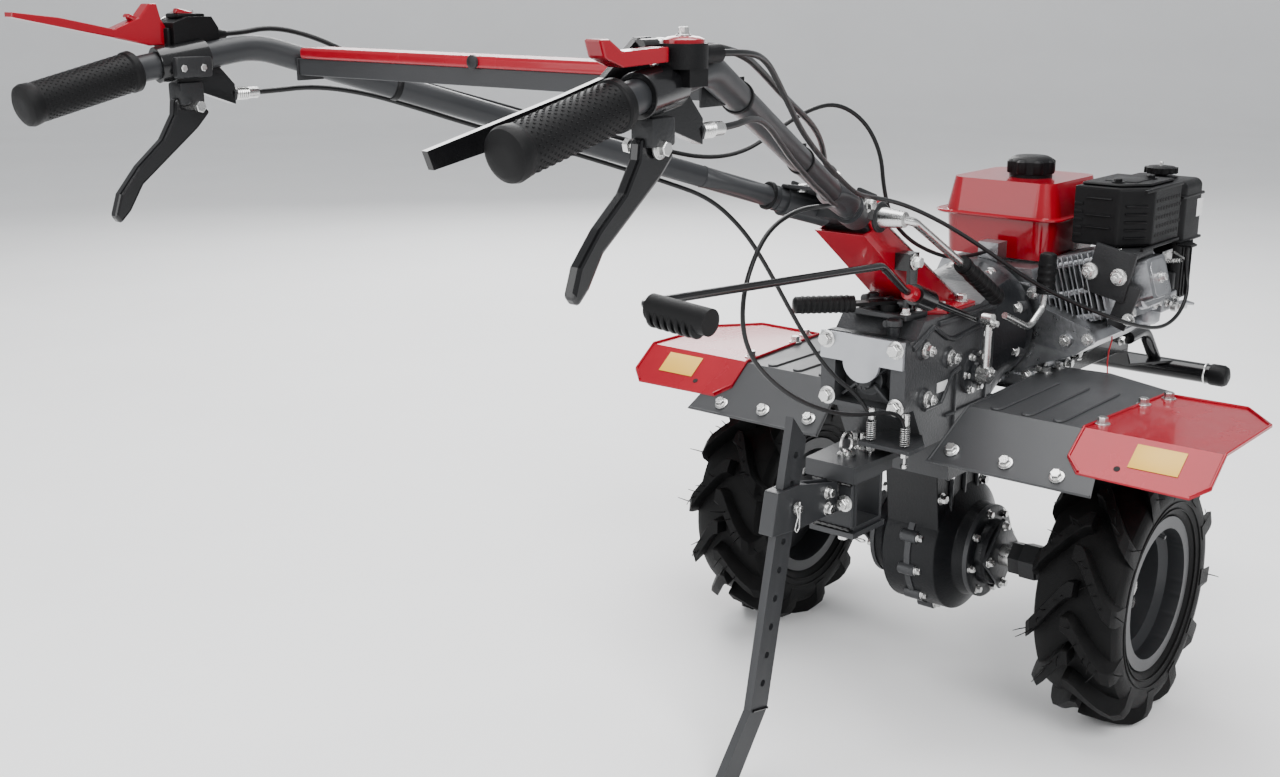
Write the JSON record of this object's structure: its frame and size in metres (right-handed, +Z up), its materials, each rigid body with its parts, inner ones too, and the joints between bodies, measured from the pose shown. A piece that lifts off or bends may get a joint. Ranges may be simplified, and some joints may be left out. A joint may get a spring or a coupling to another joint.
{
  "type": "two-wheel tractor",
  "caption": "Walk-behind tractor: petrol engine and gearbox on one driven axle, lug tyres, fenders, height-adjustable handlebar, rear hitch and parking stake.",
  "frame": {"origin": "On the ground, under the middle of the machine's footprint; the wheel axle is 0.385 m in front of it.", "axes": "+X forward, towards the engine and bumper; +Y to the machine's left, along the wheel axle; +Z up."},
  "size_m": [1.907, 0.966, 1.044],
  "materials": {
    "gear_cast": "satin",
    "white_plate": "satin",
    "black_cast": "satin",
    "raw_alu": "satin",
    "black_plastic": "matte",
    "red_plastic": "gloss",
    "black_paint": "gloss",
    "graphite": "satin",
    "red_paint": "gloss",
    "steel": "satin",
    "grip_rubber": "matte",
    "cable_jacket": "satin",
    "tyre_rubber": "matte"
  },
  "bodies": {
    "chassis": {"gearbox_case": "gear_cast", "pto_cover": "white_plate", "final_drive_case": "black_cast", "engine_block": "raw_alu", "cylinder": "raw_alu", "head_cover": "raw_alu", "fan_housing": "black_plastic", "recoil_starter": "black_plastic", "fuel_tank": "red_plastic", "fuel_cap": "black_plastic", "muffler_guard": "black_plastic", "air_cleaner": "black_plastic", "carburettor": "raw_alu", "engine_frame": "black_paint", "front_bumper": "black_paint", "fenders": "graphite", "fender_wings": "red_paint", "handlebar_column": "red_paint", "clamp_lever": "steel", "clamp_grip": "grip_rubber", "hitch_bracket": "graphite", "hitch_pin": "steel", "stake_holder": "graphite", "shift_rod": "black_paint", "shift_grip": "grip_rubber", "shift_guide": "black_paint", "shift_link": "steel", "range_lever": "grip_rubber", "drive_lever": "steel", "drive_grip": "grip_rubber"},
    "handlebar": {"handlebar_hub": "graphite", "handlebar_tubes": "graphite", "handle_grips": "grip_rubber", "clutch_levers": "black_paint", "lever_brackets": "black_paint", "crossbar": "graphite", "crossbar_cover": "red_paint", "switch_block": "black_plastic", "safety_lever": "red_plastic", "throttle_housing": "black_plastic", "throttle_lever": "red_plastic", "steering_lever": "black_paint", "left_clutch_cable": "cable_jacket", "right_clutch_cable": "cable_jacket", "throttle_cable": "cable_jacket", "steering_cable": "cable_jacket", "switch_wire": "cable_jacket"},
    "left_wheel": {"left_tyre": "tyre_rubber", "left_rim": "graphite", "left_axle_shaft": "steel"},
    "right_wheel": {"right_tyre": "tyre_rubber", "right_rim": "graphite", "right_axle_shaft": "steel"},
    "stake": {"parking_stake": "graphite"}
  },
  "joints": [
    {"name": "left_wheel_spin", "type": "hinge", "parent": "chassis", "child": "left_wheel", "pos_m": [0.385, 0.3, 0.2], "axis": [0, 1, 0], "continuous": true},
    {"name": "right_wheel_spin", "type": "hinge", "parent": "chassis", "child": "right_wheel", "pos_m": [0.385, -0.3, 0.2], "axis": [0, 1, 0], "continuous": true},
    {"name": "handlebar_height", "type": "hinge", "parent": "chassis", "child": "handlebar", "pos_m": [0.091, 0, 0.757], "axis": [0, 1, 0], "range_deg": [-6, 10], "deforming": ["left_clutch_cable", "right_clutch_cable", "throttle_cable", "switch_wire"]},
    {"name": "stake_slide", "type": "slide", "parent": "chassis", "child": "stake", "axis": [0.2059, 0, 0.9786], "range_m": [0, 0.12]}
  ]
}
